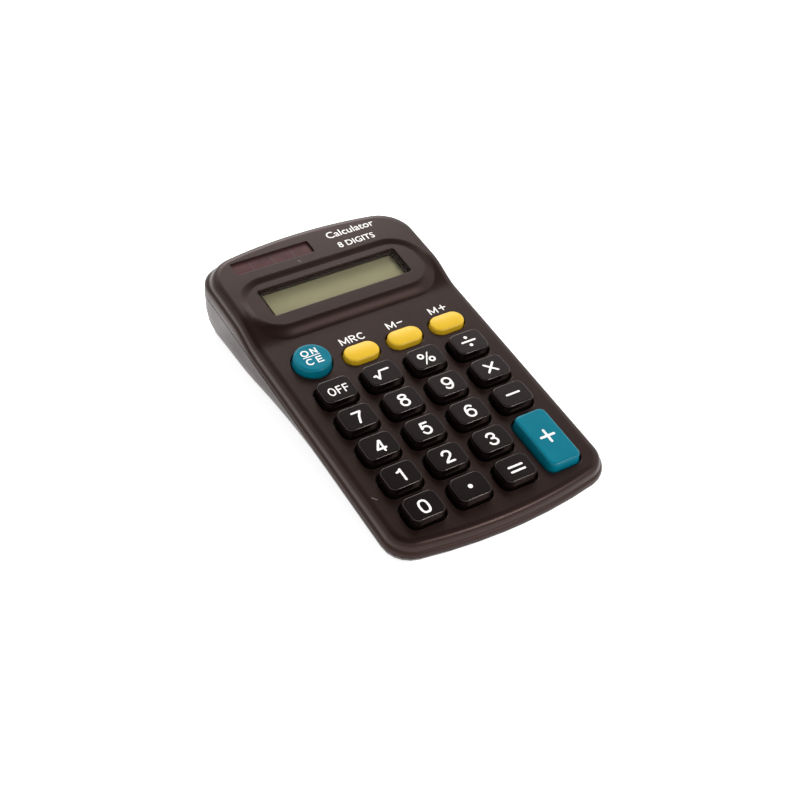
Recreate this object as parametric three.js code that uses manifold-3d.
// Hand-held desk calculator with one AA cell: a wedge-shaped black case, 23 keys, a display and a solar cell.
// Millimetres, +Z up, +Y towards the display end, standing on z = 0.
// Most sizes are in the face frame: x across, y along and z out of the keypad plane, which is z = 0.
// The face frame leans back by TILT when the calculator stands on a table.

import * as THREE from "three";
import { mergeVertices } from "three/addons/utils/BufferGeometryUtils.js";
import Module from "manifold-3d";

const wasm = await Module();
wasm.setup();

// ---- driving sizes: the case ----
const CASE_HALF_WIDTH = 34.8;
const CASE_FRONT = -35;
const CASE_HEAD = 86.9;
const FRONT_CORNER = 8.6;
const HEAD_CORNER = 8.4;
// The head's two corners round off by this much more towards the top face.
const HEAD_ROUNDING = 3.8;
const END_BOW = 150;
const WALL = 1.5;
const TILT = THREE.MathUtils.degToRad(5.8);
const FRONT_THICKNESS = 7.2;
const FRONT_FOOT_Y = -27;
const SHELL_GAP = 0.16;

// The head stands above the keypad by HEAD_RISE, along a ramp.
const HEAD_RISE = 2.5;
const RAMP_FOOT = 47;
const RAMP_TOP = 60;

// The underside runs level with the keypad, then drops to the battery.
const BELLY_START = 6;
const BELLY_END = 76;
const BELLY_DEPTH = 18.2;

// The seam between the two shells, at the front and at the head.
const SEAM_FRONT = -4.2;
const SEAM_HEAD = -3.8;

// ---- driving sizes: the keys ----
const COLUMN_PITCH = 14.44;
const ROW_PITCH = 11.3;
const KEY_RISE = 2.9;
const KEY_SIZE = [10, 8];
const KEY_CORNER = 2.2;
const KEY_SPREAD = 0.4;
const KEY_EDGE = 0.45;
const KEY_HOLE_GAP = 0.6;
const SMALL_HOLE_GAP = 0.35;
const FLANGE_LIP = 0.35;
const FLANGE_THICKNESS = 0.5;
const PLUS_RISE = 2.5;
const ON_RADIUS = 5.5;
const ON_RISE = 2.3;
const ON_PLACE = [-21.7, 36.6];
const PILL_SIZE = [10.8, 6.2];
const PILL_RISE = 1.5;
const PILL_EDGE = 0.7;
// The short straight left at a pill's round ends, so that its outline has no doubled point.
const FLAT_LEFT = 0.05;

// ---- driving sizes: under the keys ----
const FLANGE_Z = -WALL - 0.1;
const DOME_GAP = 0.25;
const DOME_TOP_Z = FLANGE_Z - FLANGE_THICKNESS - DOME_GAP;
const DOME_HEIGHT = 0.95;
const SHEET_TOP_Z = DOME_TOP_Z - DOME_HEIGHT;
const SHEET_THICKNESS = 0.4;
const DOME_RADII = [2.3, 1.5];
const SHEET_GAP = 0.15;
const BOARD_TOP_Z = SHEET_TOP_Z - SHEET_THICKNESS - SHEET_GAP;
const BOARD_THICKNESS = 0.8;
const BOARD_BOTTOM_Z = BOARD_TOP_Z - BOARD_THICKNESS;
const BOARD_HALF_WIDTH = 27.8;
const BOARD_FRONT = -28;
const BOARD_HEAD = 58;
const SHEET_HEAD = 43.4;

// ---- driving sizes: display and solar cell ----
const SURROUND = { x: 0, y: 60.4, width: 58, height: 20, corner: 8.6, z: 2.1, thickness: 1.7 };
const WINDOW_HOLE = { x: -0.25, y: 61.55, width: 46.5, height: 11.3, corner: 0.9, depth: 1.25 };
const DISPLAY_HOLE = { width: 44.2, height: 9.9, corner: 0.5 };
const WINDOW_THICKNESS = 0.8;
const WINDOW_SINK = 0.3;
const DISPLAY_BLOCK = { width: 51, front: 53.5, head: 68.2, bottom: -0.6 };
const LCD = { width: 49, front: 53.7, head: 67, thickness: 1.2, ledge: 2.4 };
const ZEBRA = { width: 45, depth: 1.8 };
const SOLAR_HOLE = { x: -12.6, y: 77.8, width: 26, height: 5.2, corner: 0.7, depth: 0.7 };
const SOLAR_CELL = { width: 28, height: 7, thickness: 1.0 };

// ---- driving sizes: battery ----
const CELL_RADIUS = 7.1;
const CELL_LENGTH = 49.2;
const NUB = [2.7, 1.1];
const CELL_X = 1.5;
const CELL_Y = 73.9;
const CELL_LIFT = 0.4;
const CELL_CLEARANCE = 0.55;
const TUB_WALL = 0.9;
const TUB_HALF_WIDTH = 29.4;
const DOOR_THICKNESS = 1.4;
const DOOR_HALF_WIDTH = 27.8;
const DOOR_GAP = 0.25;
const DOOR_TOP = 8.2;
const CONTACT_SIZE = 8.5;
const CONTACT_THICKNESS = 0.35;
const CONTACT_TAB = { width: 3, reach: 2.2, z: 13.2 };
const SPRING = { wire: 0.35, base: 3.6, tip: 2.2, turns: 3.5 };

// ---- driving sizes: screws and wires ----
const CASE_SCREW = { shaft: 0.8, head: 1.5, headHeight: 0.6, pilot: 0.95, boss: 1.6, length: 4.2 };
const CASE_SCREW_PLACES = [[-29.7, -18], [29.7, -18], [-29.7, 44], [29.7, 44]];
// How deep the screw heads sit in the underside, under the thin front and under the thicker middle.
const SHALLOW_WELL = 0.9;
const DEEP_WELL = 3;
const POST_RADIUS = 2.6;
const BOARD_SCREW = { shaft: 0.6, head: 1.2, headHeight: 0.5, pilot: 0.72, boss: 1.45, length: 1.9 };
const BOARD_SCREW_PLACES = [
  [-COLUMN_PITCH, 1.5 * ROW_PITCH],
  [COLUMN_PITCH, 1.5 * ROW_PITCH],
  [-COLUMN_PITCH, -0.5 * ROW_PITCH],
  [COLUMN_PITCH, -0.5 * ROW_PITCH],
  [-24.5, 48],
  [24.5, 48],
];
const WIRE_RADIUS = 0.4;
const WIRE_STEPS = 12;
const FIT = 0.15;
const SEAT_FIT = 0.1;
const SEAT_THICKNESS = 1.2;

// Far enough out to clear everything, for cutting and limiting solids.
const TOP_OF_ALL = 10;
const BELOW_ALL = -30;
const TUB_LIMIT = 12;
const PAST_SEAM = 3;
const PAST_HEAD = 120;

// ---- fineness of the facets ----
const CORNER_STEPS = 5;
const END_STEPS = 3;
const SIDE_STEPS = 24;
const KEY_CORNER_STEPS = 3;
const ROUND_STEPS = 24;
const SMALL_ROUND_STEPS = 12;
const SPRING_STEPS = 38;

// ---- heights of the case surfaces, as functions of y ----
function smoothStep(from, to, y) {
  const part = THREE.MathUtils.clamp((y - from) / (to - from), 0, 1);
  return part * part * (3 - 2 * part);
}

function topZ(y) {
  return HEAD_RISE * smoothStep(RAMP_FOOT, RAMP_TOP, y);
}

function seamZ(y) {
  return THREE.MathUtils.mapLinear(y, CASE_FRONT, CASE_HEAD, SEAM_FRONT, SEAM_HEAD);
}

function tableZ(y) {
  return -FRONT_THICKNESS - (y - FRONT_FOOT_Y) * Math.tan(TILT);
}

function bellyZ(y) {
  const drop = (BELLY_DEPTH - FRONT_THICKNESS) * smoothStep(BELLY_START, BELLY_END, y);
  return Math.max(tableZ(y), -FRONT_THICKNESS - drop);
}

// ---- outlines: the right half from front to head, later mirrored ----
function arcPoints(centreX, centreY, radius, from, to, steps) {
  const points = [];
  for (let step = 0; step <= steps; step += 1) {
    const angle = THREE.MathUtils.lerp(from, to, step / steps);
    points.push([centreX + radius * Math.cos(angle), centreY + radius * Math.sin(angle)]);
  }
  return points;
}

// Half of the front end as seen from the origin of its bow: a shallow bow, then a corner up to the side.
function endHalf(halfWidth, corner) {
  const across = halfWidth - corner;
  const reach = Math.sqrt((END_BOW - corner) ** 2 - across ** 2);
  const tangent = Math.atan2(-reach, across);
  const nearMiddle = -Math.PI / 2 + 0.02;
  const bow = arcPoints(0, 0, END_BOW, nearMiddle, tangent, END_STEPS);
  const turn = arcPoints(across, -reach, corner, tangent, 0, CORNER_STEPS);
  return [...bow.slice(0, -1), ...turn];
}

// The case outline, drawn in by a distance at the sides, the front and the head.
function caseHalf(sideInset, frontInset = sideInset, headInset = sideInset, headCorner = HEAD_CORNER) {
  const halfWidth = CASE_HALF_WIDTH - sideInset;
  const frontCentre = CASE_FRONT + frontInset + END_BOW;
  const headCentre = CASE_HEAD - headInset - END_BOW;
  const front = endHalf(halfWidth, FRONT_CORNER - sideInset).map(([x, y]) => [x, frontCentre + y]);
  const head = endHalf(halfWidth, headCorner - sideInset).map(([x, y]) => [x, headCentre - y]).reverse();
  const from = front[front.length - 1][1];
  const to = head[0][1];
  const side = [];
  for (let step = 1; step < SIDE_STEPS; step += 1) {
    side.push([halfWidth, THREE.MathUtils.lerp(from, to, step / SIDE_STEPS)]);
  }
  return [...front, ...side, ...head];
}

function boxHalf(width, height, corner, steps = KEY_CORNER_STEPS) {
  const x = width / 2 - corner;
  const y = height / 2 - corner;
  return [
    ...arcPoints(x, -y, corner, -Math.PI / 2, 0, steps),
    ...arcPoints(x, y, corner, 0, Math.PI / 2, steps),
  ];
}

function discHalf(radius, steps = ROUND_STEPS) {
  const first = -Math.PI / 2 + Math.PI / steps;
  return arcPoints(0, 0, radius, first, -first, steps / 2 - 1);
}

function ring(half, z) {
  const height = typeof z === "function" ? z : () => z;
  const right = half.map(([x, y]) => [x, y, height(y)]);
  const left = half.map(([x, y]) => [-x, y, height(y)]).reverse();
  return [...right, ...left];
}

// ---- solids ----
// Joins rings of equal length, lowest first, and closes both ends with strips across the middle.
function loft(rings) {
  const count = rings[0].length;
  const triangles = [];
  for (let level = 0; level < rings.length - 1; level += 1) {
    for (let i = 0; i < count; i += 1) {
      const next = (i + 1) % count;
      const low = level * count;
      const high = low + count;
      triangles.push(low + i, low + next, high + next, low + i, high + next, high + i);
    }
  }
  const last = (rings.length - 1) * count;
  for (let i = 0; i < count / 2 - 1; i += 1) {
    const mirror = count - 1 - i;
    triangles.push(last + i, last + i + 1, last + mirror - 1, last + i, last + mirror - 1, last + mirror);
    triangles.push(i, mirror - 1, i + 1, i, mirror, mirror - 1);
  }
  return solidFrom(new Float32Array(rings.flat(2)), new Uint32Array(triangles));
}

function solidFrom(vertProperties, triVerts) {
  return new wasm.Manifold(new wasm.Mesh({ numProp: 3, vertProperties, triVerts }));
}

function solidFromGeometry(geometry) {
  const bare = geometry.clone();
  bare.deleteAttribute("normal");
  bare.deleteAttribute("uv");
  const merged = mergeVertices(bare, 1e-4);
  return solidFrom(new Float32Array(merged.attributes.position.array), new Uint32Array(merged.index.array));
}

function prism(half, low, high) {
  return loft([ring(half, low), ring(half, high)]);
}

function slab(width, height, thickness) {
  return solidFromGeometry(new THREE.BoxGeometry(width, height, thickness));
}

// A box given by its low and high corners.
function boxBetween(low, high) {
  const size = high.map((value, axis) => value - low[axis]);
  const middle = high.map((value, axis) => (value + low[axis]) / 2);
  return slab(...size).translate(middle);
}

function rodAlongX(radius, length) {
  const rod = new THREE.CylinderGeometry(radius, radius, length, ROUND_STEPS);
  rod.rotateZ(Math.PI / 2);
  return solidFromGeometry(rod);
}

function join(solids) {
  return wasm.Manifold.union(solids);
}

function geometryOf(solid) {
  const mesh = solid.getMesh();
  const geometry = new THREE.BufferGeometry();
  const position = new Float32Array(mesh.vertProperties);
  geometry.setAttribute("position", new THREE.BufferAttribute(position, 3));
  geometry.setIndex(new THREE.BufferAttribute(new Uint32Array(mesh.triVerts), 1));
  geometry.computeVertexNormals();
  return geometry;
}

// ---- materials ----
function material(colour, roughness, metalness = 0) {
  return new THREE.MeshStandardMaterial({ color: new THREE.Color(colour), roughness, metalness });
}

const MATERIALS = {
  casePlastic: material("#3d3432", 0.55),
  keyPlastic: material("#241f1e", 0.4),
  tealPlastic: material("#1e8090", 0.35),
  yellowPlastic: material("#eac944", 0.35),
  clearPlastic: material("#6d7466", 0.08),
  displayGlass: material("#a3a77d", 0.2),
  solarGlass: material("#4a2c28", 0.15),
  rubber: material("#c9c6bd", 0.75),
  carbonRubber: material("#4a4a4c", 0.8),
  board: material("#8a6a34", 0.6),
  epoxy: material("#15151a", 0.45),
  steel: material("#b9bcc0", 0.3, 1),
  cellJacket: material("#2d4f8f", 0.35),
  capSleeve: material("#20305a", 0.4),
  redWire: material("#b02020", 0.5),
  blackWire: material("#151515", 0.5),
};

// ---- frames ----
const calculator = new THREE.Group();
calculator.name = "calculator";
const face = new THREE.Group();
face.name = "face_frame";
face.rotation.x = TILT;
calculator.add(face);
// The face frame's origin stands this far above the table.
const FACE_LIFT = -tableZ(0) * Math.cos(TILT);
face.position.z = FACE_LIFT;

function addNode(parent, name, solid, nodeMaterial, place = [0, 0, 0]) {
  const node = new THREE.Mesh(geometryOf(solid), nodeMaterial);
  node.name = name;
  node.position.set(...place);
  parent.add(node);
  return node;
}

// A point on the table frame that lies under a face-frame y, at table height z.
function tableY(faceY) {
  return faceY * Math.cos(TILT);
}

// Puts a solid that was made in the table frame into the face frame.
function intoFace(solid) {
  return solid.translate([0, 0, -FACE_LIFT]).rotate([-THREE.MathUtils.radToDeg(TILT), 0, 0]);
}

// ---- keys ----
// A key is a tapered block with a softened top edge and a flange that the case holds down.
function keySolid(grow, rise, gap, edge) {
  const flange = grow(KEY_SPREAD / 2 + gap + FLANGE_LIP);
  const foot = grow(KEY_SPREAD / 2);
  return loft([
    ring(flange, FLANGE_Z - FLANGE_THICKNESS),
    ring(flange, FLANGE_Z),
    ring(foot, FLANGE_Z),
    ring(foot, 0),
    ring(grow(0), rise - edge),
    ring(grow(-edge * 0.35), rise - edge * 0.3),
    ring(grow(-edge), rise),
  ]);
}

function rectangleKey([width, height], corner, rise, gap, edge = KEY_EDGE) {
  const grow = (by) => boxHalf(width + 2 * by, height + 2 * by, corner + by);
  return { solid: keySolid(grow, rise, gap, edge), hole: grow(KEY_SPREAD / 2 + gap) };
}

function roundKey(radius, rise, gap) {
  const grow = (by) => discHalf(radius + by);
  return { solid: keySolid(grow, rise, gap, KEY_EDGE), hole: grow(KEY_SPREAD / 2 + gap) };
}

const columnX = (column) => (column - 1.5) * COLUMN_PITCH;
const rowY = (row) => (3 - row) * ROW_PITCH;
const tallSize = [KEY_SIZE[0], KEY_SIZE[1] + ROW_PITCH];
const pillCorner = PILL_SIZE[1] / 2 - FLAT_LEFT;
const smallKey = rectangleKey(KEY_SIZE, KEY_CORNER, KEY_RISE, KEY_HOLE_GAP);
const tallKey = rectangleKey(tallSize, KEY_CORNER, PLUS_RISE, KEY_HOLE_GAP);
const pillKey = rectangleKey(PILL_SIZE, pillCorner, PILL_RISE, SMALL_HOLE_GAP, PILL_EDGE);
const onKey = roundKey(ON_RADIUS, ON_RISE, SMALL_HOLE_GAP);

const ROWS = [
  ["off", "square_root", "percent", "divide"],
  ["7", "8", "9", "multiply"],
  ["4", "5", "6", "minus"],
  ["1", "2", "3"],
  ["0", "point", "equals"],
];
const keys = [];

function placeKey(label, shape, look, x, y) {
  keys.push({ shape, x, y });
  addNode(face, `key_${label}`, shape.solid, MATERIALS[look], [x, y, 0]);
}

ROWS.forEach((labels, rowIndex) => {
  labels.forEach((label, column) => {
    placeKey(label, smallKey, "keyPlastic", columnX(column), rowY(rowIndex + 1));
  });
});
placeKey("plus", tallKey, "tealPlastic", columnX(3), (rowY(4) + rowY(5)) / 2);
placeKey("on_ce", onKey, "tealPlastic", ...ON_PLACE);
["memory_recall", "memory_minus", "memory_plus"].forEach((label, index) => {
  placeKey(label, pillKey, "yellowPlastic", columnX(index + 1), rowY(0));
});

// ---- top case ----
// Inset from the widest outline and drop from the top surface, from the shoulder up to the flat face.
const TOP_EDGE = [
  [0.1, 3.7],
  [0.35, 3.1],
  [0.9, 2.6],
  [1.0, 1.9],
  [1.35, 1.0],
  [2.1, 0.3],
  [3.3, 0],
];

const SHOULDER_DROP = TOP_EDGE[0][1];

// A ring of the top case; its head corners are rounder the nearer it is to the top face.
function topRing(inset, drop, wall = 0) {
  const roundness = 1 - (Math.max(drop - wall, 0) / SHOULDER_DROP) ** 2;
  const half = caseHalf(inset, inset, inset, HEAD_CORNER + HEAD_ROUNDING * roundness);
  return ring(half, (y) => topZ(y) - drop);
}

function topOuter() {
  const rings = [ring(caseHalf(0), (y) => seamZ(y))];
  for (const [inset, drop] of TOP_EDGE) {
    rings.push(topRing(inset, drop));
  }
  return loft(rings);
}

// The hollow under the top face follows the outside at wall thickness, and runs on below the seam.
const INNER_EDGE = [
  [0, 3.6],
  [1, WALL + 0.6],
  [2, WALL],
];

function topInner() {
  const rings = [ring(caseHalf(WALL), (y) => seamZ(y) - PAST_SEAM)];
  for (const [inset, drop] of INNER_EDGE) {
    rings.push(topRing(WALL + inset, drop, WALL));
  }
  return loft(rings);
}

function surroundShape(low, high) {
  const half = boxHalf(SURROUND.width, SURROUND.height, SURROUND.corner, CORNER_STEPS);
  return prism(half, low, high).translate([SURROUND.x, SURROUND.y, 0]);
}

function holeShape(hole, low, high, at = hole) {
  return prism(boxHalf(hole.width, hole.height, hole.corner), low, high).translate([at.x, at.y, 0]);
}

function boss(place, radius, bottom) {
  const [x, y] = place;
  return prism(discHalf(radius, SMALL_ROUND_STEPS), bottom, topZ(y) - WALL / 2).translate([x, y, 0]);
}

// Where a case screw's head bears on the bottom case.
function screwSeatZ([, y]) {
  return bellyZ(y) + (y > BELLY_START ? DEEP_WELL : SHALLOW_WELL);
}

// The hollow in a boss that its screw cuts its thread in.
function pilot(place, radius, foot, top) {
  return prism(discHalf(radius, SMALL_ROUND_STEPS), foot - 1, top).translate([...place, 0]);
}

function topCase() {
  const plate = topOuter().subtract(topInner());
  const surround = surroundShape(SURROUND.z - SURROUND.thickness, SURROUND.z);
  const blockX = DISPLAY_BLOCK.width / 2;
  const block = boxBetween(
    [WINDOW_HOLE.x - blockX, DISPLAY_BLOCK.front, DISPLAY_BLOCK.bottom],
    [WINDOW_HOLE.x + blockX, DISPLAY_BLOCK.head, SURROUND.z - WINDOW_HOLE.depth / 2],
  );
  const recess = surroundShape(SURROUND.z, TOP_OF_ALL);
  const solarTop = HEAD_RISE - SOLAR_HOLE.depth;
  const cuts = [
    recess,
    holeShape(WINDOW_HOLE, SURROUND.z - WINDOW_HOLE.depth, TOP_OF_ALL),
    holeShape(DISPLAY_HOLE, DISPLAY_BLOCK.bottom - 1, TOP_OF_ALL, WINDOW_HOLE),
    holeShape(SOLAR_HOLE, 0, TOP_OF_ALL),
    slab(SOLAR_CELL.width + 2 * FIT, SOLAR_CELL.height + 2 * FIT, 2)
      .translate([SOLAR_HOLE.x, SOLAR_HOLE.y, solarTop - 1]),
  ];
  for (const key of keys) {
    cuts.push(prism(key.shape.hole, -WALL * 2, TOP_OF_ALL).translate([key.x, key.y, 0]));
  }
  const bosses = [];
  const pilots = [];
  for (const place of CASE_SCREW_PLACES) {
    const foot = screwSeatZ(place) + SEAT_THICKNESS + FIT;
    bosses.push(boss(place, CASE_SCREW.boss, foot));
    pilots.push(pilot(place, CASE_SCREW.pilot, foot, screwSeatZ(place) + CASE_SCREW.length + 2 * FIT));
  }
  for (const place of BOARD_SCREW_PLACES) {
    const foot = BOARD_TOP_Z + FIT;
    bosses.push(boss(place, BOARD_SCREW.boss, foot));
    pilots.push(pilot(place, BOARD_SCREW.pilot, foot, BOARD_BOTTOM_Z + BOARD_SCREW.length + 2 * FIT));
  }
  return join([plate, surround, block]).subtract(join(cuts)).add(join(bosses)).subtract(join(pilots));
}
addNode(face, "top_case", topCase(), MATERIALS.casePlastic);

// ---- bottom case ----
// How far down the side each ring is, as a part of its height, and its inset at the sides and at the head.
const BOTTOM_EDGE = [
  [1, 2.7, 6.8],
  [0.9, 1.6, 4.2],
  [0.7, 0.75, 2.1],
  [0.4, 0.25, 0.8],
  [0, 0, 0],
];

function bottomLoft(thicker, extraTop) {
  return loft(
    BOTTOM_EDGE.map(([part, side, head]) => {
      const height = (y) => {
        const seam = seamZ(y) - SHELL_GAP;
        return THREE.MathUtils.lerp(seam, bellyZ(y) + thicker, part) + (part === 0 ? extraTop : 0);
      };
      return ring(caseHalf(side + thicker, side + thicker, head + thicker), height);
    }),
  );
}

const cellTableY = tableY(CELL_Y);
const cellZ = DOOR_THICKNESS + CELL_LIFT + CELL_RADIUS;
const tubRadius = CELL_RADIUS + CELL_CLEARANCE;

function tubShape(radius, halfWidth) {
  const pipe = rodAlongX(radius, 2 * halfWidth).translate([0, cellTableY, cellZ]);
  const legs = boxBetween([-halfWidth, cellTableY - radius, 0.3], [halfWidth, cellTableY + radius, cellZ]);
  return join([pipe, legs]);
}

// The door takes in the flat under the cell and the rounded wall behind it.
function doorZone(gap) {
  const halfWidth = DOOR_HALF_WIDTH + gap;
  const front = cellTableY - tubRadius - gap;
  return boxBetween([-halfWidth, front, -1], [halfWidth, PAST_HEAD, DOOR_TOP + gap]);
}

const bottomSolid = bottomLoft(0, 0);
const bottomShell = bottomSolid.subtract(bottomLoft(WALL, PAST_SEAM));
const tubRoom = prism(caseHalf(WALL + 2 * FIT), BELOW_ALL, TOP_OF_ALL).add(bottomSolid);
const tub = intoFace(tubShape(tubRadius + TUB_WALL, TUB_HALF_WIDTH))
  .intersect(tubRoom)
  .intersect(bottomLoft(0, TUB_LIMIT));
const tubHollow = intoFace(tubShape(tubRadius, TUB_HALF_WIDTH - TUB_WALL))
  .intersect(bottomLoft(WALL, TUB_LIMIT));

function tabSlot(side) {
  const x = side * TUB_HALF_WIDTH;
  const halfY = CONTACT_TAB.width / 2 + FIT;
  const halfZ = CONTACT_THICKNESS / 2 + FIT;
  return intoFace(
    boxBetween(
      [x - 2, cellTableY - halfY, CONTACT_TAB.z - halfZ],
      [x + 2, cellTableY + halfY, CONTACT_TAB.z + halfZ],
    ),
  );
}

function bottomCase() {
  const seats = [];
  const holes = [];
  for (const place of CASE_SCREW_PLACES) {
    const seat = screwSeatZ(place);
    const post = prism(discHalf(POST_RADIUS, SMALL_ROUND_STEPS), BELOW_ALL, seat + SEAT_THICKNESS);
    seats.push(post.translate([...place, 0]).intersect(bottomSolid));
    const well = prism(discHalf(CASE_SCREW.head + 2 * FIT, SMALL_ROUND_STEPS), BELOW_ALL, seat);
    const clear = prism(discHalf(CASE_SCREW.shaft + 2 * FIT, SMALL_ROUND_STEPS), BELOW_ALL, TOP_OF_ALL);
    holes.push(well.translate([...place, 0]), clear.translate([...place, 0]));
  }
  return join([bottomShell, tub, ...seats])
    .subtract(join([tubHollow, intoFace(doorZone(DOOR_GAP)), tabSlot(-1), tabSlot(1), ...holes]));
}
addNode(face, "bottom_case", bottomCase(), MATERIALS.casePlastic);

function batteryDoor() {
  const skin = bottomSolid.subtract(bottomLoft(DOOR_THICKNESS, PAST_SEAM));
  return skin.intersect(intoFace(doorZone(0)));
}
addNode(face, "battery_door", batteryDoor(), MATERIALS.casePlastic);

// ---- display and solar cell ----
const windowHalf = boxHalf(WINDOW_HOLE.width - 2 * FIT, WINDOW_HOLE.height - 2 * FIT, WINDOW_HOLE.corner);
addNode(
  face,
  "display_window",
  prism(windowHalf, -WINDOW_THICKNESS, 0),
  MATERIALS.clearPlastic,
  [WINDOW_HOLE.x, WINDOW_HOLE.y, SURROUND.z - WINDOW_SINK],
);

const lcdTop = DISPLAY_BLOCK.bottom - SEAT_FIT;
// Two panes; the upper one overhangs at the front, where the connector touches its underside.
function lcdPanel() {
  const length = LCD.head - LCD.front;
  const glass = LCD.thickness / 2;
  const upper = slab(LCD.width, length, glass).translate([0, 0, -glass / 2]);
  const lower = slab(LCD.width, length - LCD.ledge, glass).translate([0, LCD.ledge / 2, -glass * 1.5]);
  return join([upper, lower]);
}
const lcdY = (LCD.front + LCD.head) / 2;
addNode(face, "lcd_panel", lcdPanel(), MATERIALS.displayGlass, [WINDOW_HOLE.x, lcdY, lcdTop]);

const zebraTop = lcdTop - LCD.thickness / 2 - FIT;
const zebraBottom = BOARD_TOP_Z + FIT;
addNode(
  face,
  "zebra_connector",
  slab(ZEBRA.width, ZEBRA.depth, zebraTop - zebraBottom),
  MATERIALS.carbonRubber,
  [WINDOW_HOLE.x, LCD.front + ZEBRA.depth / 2 + FIT, (zebraTop + zebraBottom) / 2],
);

const solarZ = HEAD_RISE - SOLAR_HOLE.depth - SEAT_FIT - SOLAR_CELL.thickness / 2;
addNode(
  face,
  "solar_cell",
  slab(SOLAR_CELL.width, SOLAR_CELL.height, SOLAR_CELL.thickness),
  MATERIALS.solarGlass,
  [SOLAR_HOLE.x, SOLAR_HOLE.y, solarZ],
);

// ---- keypad sheet and circuit board ----
function sheetHoles(radius) {
  return BOARD_SCREW_PLACES.map((place) => {
    const hole = prism(discHalf(radius, SMALL_ROUND_STEPS), BELOW_ALL, TOP_OF_ALL);
    return hole.translate([...place, 0]);
  });
}

function keypadSheet() {
  const sheetLow = SHEET_TOP_Z - SHEET_THICKNESS;
  const base = boxBetween(
    [-BOARD_HALF_WIDTH, BOARD_FRONT, sheetLow],
    [BOARD_HALF_WIDTH, SHEET_HEAD, SHEET_TOP_Z],
  );
  const domes = keys.map((key) => {
    const rings = [
      ring(discHalf(DOME_RADII[0], SMALL_ROUND_STEPS), sheetLow + SHEET_THICKNESS / 2),
      ring(discHalf(DOME_RADII[0], SMALL_ROUND_STEPS), SHEET_TOP_Z),
      ring(discHalf(DOME_RADII[1], SMALL_ROUND_STEPS), DOME_TOP_Z),
    ];
    return loft(rings).translate([key.x, key.y, 0]);
  });
  return join([base, ...domes]).subtract(join(sheetHoles(BOARD_SCREW.boss + 2 * FIT)));
}
addNode(face, "keypad_membrane", keypadSheet(), MATERIALS.rubber);

function circuitBoard() {
  const board = boxBetween(
    [-BOARD_HALF_WIDTH, BOARD_FRONT, BOARD_BOTTOM_Z],
    [BOARD_HALF_WIDTH, BOARD_HEAD, BOARD_TOP_Z],
  );
  return board.subtract(join(sheetHoles(BOARD_SCREW.shaft + FIT)));
}
addNode(face, "circuit_board", circuitBoard(), MATERIALS.board);

const CHIP = { x: 2, y: 52, radius: 4.2, height: 1.3 };
const CAPACITOR = { x: -12, y: 51, radius: 2, length: 5.5 };
const underBoard = BOARD_BOTTOM_Z - FIT;
const chipBlob = loft([
  ring(discHalf(CHIP.radius * 0.55), -CHIP.height),
  ring(discHalf(CHIP.radius * 0.88), -CHIP.height * 0.6),
  ring(discHalf(CHIP.radius), 0),
]);
addNode(face, "chip_blob", chipBlob, MATERIALS.epoxy, [CHIP.x, CHIP.y, underBoard]);
addNode(
  face,
  "capacitor",
  rodAlongX(CAPACITOR.radius, CAPACITOR.length),
  MATERIALS.capSleeve,
  [CAPACITOR.x, CAPACITOR.y, underBoard - CAPACITOR.radius],
);

// ---- battery, its contacts and the wires ----
const base = new THREE.Group();
base.name = "table_frame";
calculator.add(base);

function cell() {
  const body = rodAlongX(CELL_RADIUS, CELL_LENGTH);
  const nub = rodAlongX(NUB[0], NUB[1] * 2).translate([CELL_LENGTH / 2, 0, 0]);
  return join([body, nub]);
}
addNode(base, "battery_aa", cell(), MATERIALS.cellJacket, [CELL_X, cellTableY, cellZ]);

// A square plate against the end of the tub, with a tab that passes out to its wire.
function contactPlate(side) {
  const plate = slab(CONTACT_THICKNESS, CONTACT_SIZE, CONTACT_SIZE);
  const tab = slab(CONTACT_TAB.reach, CONTACT_TAB.width, CONTACT_THICKNESS)
    .translate([side * CONTACT_TAB.reach / 2, 0, CONTACT_TAB.z - cellZ]);
  return join([plate, tab]);
}
const contactX = TUB_HALF_WIDTH - TUB_WALL - FIT - CONTACT_THICKNESS / 2;
const plusContact = contactPlate(1);
const minusContact = contactPlate(-1);
addNode(base, "battery_contact_positive", plusContact, MATERIALS.steel, [contactX, cellTableY, cellZ]);
addNode(base, "battery_contact_negative", minusContact, MATERIALS.steel, [-contactX, cellTableY, cellZ]);

function tube(curve, radius, steps) {
  const shape = new THREE.Shape();
  shape.absarc(0, 0, radius, 0, 2 * Math.PI, false);
  const geometry = new THREE.ExtrudeGeometry(shape, {
    steps,
    curveSegments: 3,
    bevelEnabled: false,
    extrudePath: curve,
  });
  return solidFromGeometry(geometry);
}

class ConicalCoil extends THREE.Curve {
  constructor(baseRadius, tipRadius, turns, length) {
    super();
    this.sizes = { baseRadius, tipRadius, turns, length };
  }

  getPoint(part, target = new THREE.Vector3()) {
    const { baseRadius, tipRadius, turns, length } = this.sizes;
    const radius = THREE.MathUtils.lerp(baseRadius, tipRadius, part);
    const angle = 2 * Math.PI * turns * part;
    return target.set(length * part, radius * Math.cos(angle), radius * Math.sin(angle));
  }
}
const springStart = -contactX + CONTACT_THICKNESS / 2 + SPRING.wire + FIT;
const springEnd = CELL_X - CELL_LENGTH / 2 - SPRING.wire - FIT;
const coil = new ConicalCoil(SPRING.base, SPRING.tip, SPRING.turns, springEnd - springStart);
const spring = tube(coil, SPRING.wire, SPRING_STEPS);
addNode(base, "battery_spring", spring, MATERIALS.steel, [springStart, cellTableY, cellZ]);

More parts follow.
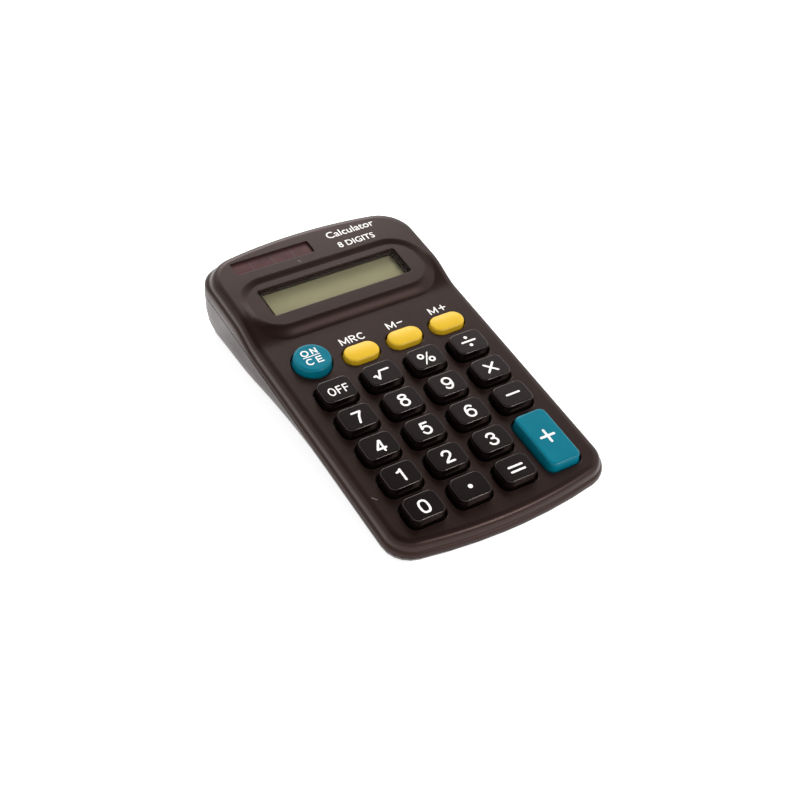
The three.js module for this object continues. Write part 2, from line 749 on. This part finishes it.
// Each wire runs from its solder point, along the side wall, to the board's head end.
// A route is in the table frame, and its last point lies on the board, as a face-frame x and y.
const wireX = TUB_HALF_WIDTH + 1.3;
const boardX = BOARD_HALF_WIDTH - 1.2;
const tabTop = CONTACT_TAB.z + CONTACT_THICKNESS / 2 + WIRE_RADIUS + FIT;
const CELL_ROUTE = [
  [wireX, cellTableY, tabTop],
  [wireX, 66, tabTop],
  [wireX - 1.3, 60.5, 13],
];
const WIRES = [
  { name: "battery_wire_red", look: "redWire", route: CELL_ROUTE, side: 1, boardY: 56 },
  { name: "battery_wire_black", look: "blackWire", route: CELL_ROUTE, side: -1, boardY: 56 },
  {
    name: "solar_wire_red",
    look: "redWire",
    route: [
      [23.5, 78.6, 17.8],
      [27.5, 78.5, 17.6],
      [wireX, 77, 16.9],
      [wireX, 70, 15.2],
      [wireX, 60, 14.3],
    ],
    side: -1,
    boardY: 53.6,
  },
  {
    name: "solar_wire_black",
    look: "blackWire",
    route: [
      [19.5, 77.6, 17.8],
      [27.5, 76.8, 17.85],
      [29.8, 75.4, 17.85],
      [wireX, 72, 16.9],
      [wireX, 60, 15.5],
    ],
    side: -1,
    boardY: 51.2,
  },
];

function boardPoint(x, y) {
  const onBoard = new THREE.Vector3(x, y, BOARD_TOP_Z + WIRE_RADIUS + FIT);
  onBoard.applyAxisAngle(new THREE.Vector3(1, 0, 0), TILT);
  onBoard.z += FACE_LIFT;
  return onBoard;
}

for (const { name, look, route, side, boardY } of WIRES) {
  const points = route.map(([x, y, z]) => new THREE.Vector3(side * x, y, z));
  points.push(boardPoint(side * boardX, boardY));
  const path = new THREE.CatmullRomCurve3(points);
  addNode(base, name, tube(path, WIRE_RADIUS, WIRE_STEPS), MATERIALS[look]);
}

// ---- screws ----
// A self-tapping screw with its head at z = 0, pointing up, and a cross in the head.
function screw({ shaft, head, headHeight, length }) {
  const body = loft([
    ring(discHalf(head, SMALL_ROUND_STEPS), -headHeight),
    ring(discHalf(head, SMALL_ROUND_STEPS), 0),
    ring(discHalf(shaft, SMALL_ROUND_STEPS), 0),
    ring(discHalf(shaft, SMALL_ROUND_STEPS), length - shaft),
    ring(discHalf(shaft / 3, SMALL_ROUND_STEPS), length),
  ]);
  const slot = slab(head * 1.2, head * 0.25, headHeight).translate([0, 0, -headHeight]);
  return body.subtract(slot).subtract(slot.rotate([0, 0, 90]));
}
CASE_SCREW_PLACES.forEach((place, index) => {
  const headZ = screwSeatZ(place) - SEAT_FIT;
  addNode(face, `case_screw_${index + 1}`, screw(CASE_SCREW), MATERIALS.steel, [...place, headZ]);
});
BOARD_SCREW_PLACES.forEach((place, index) => {
  const headZ = BOARD_BOTTOM_Z - SEAT_FIT;
  addNode(face, `board_screw_${index + 1}`, screw(BOARD_SCREW), MATERIALS.steel, [...place, headZ]);
});

// The case's middle goes over the origin.
const extent = new THREE.Box3().setFromObject(calculator);
const middleY = (extent.min.y + extent.max.y) / 2;
face.position.y = -middleY;
base.position.y = -middleY;

export default calculator;
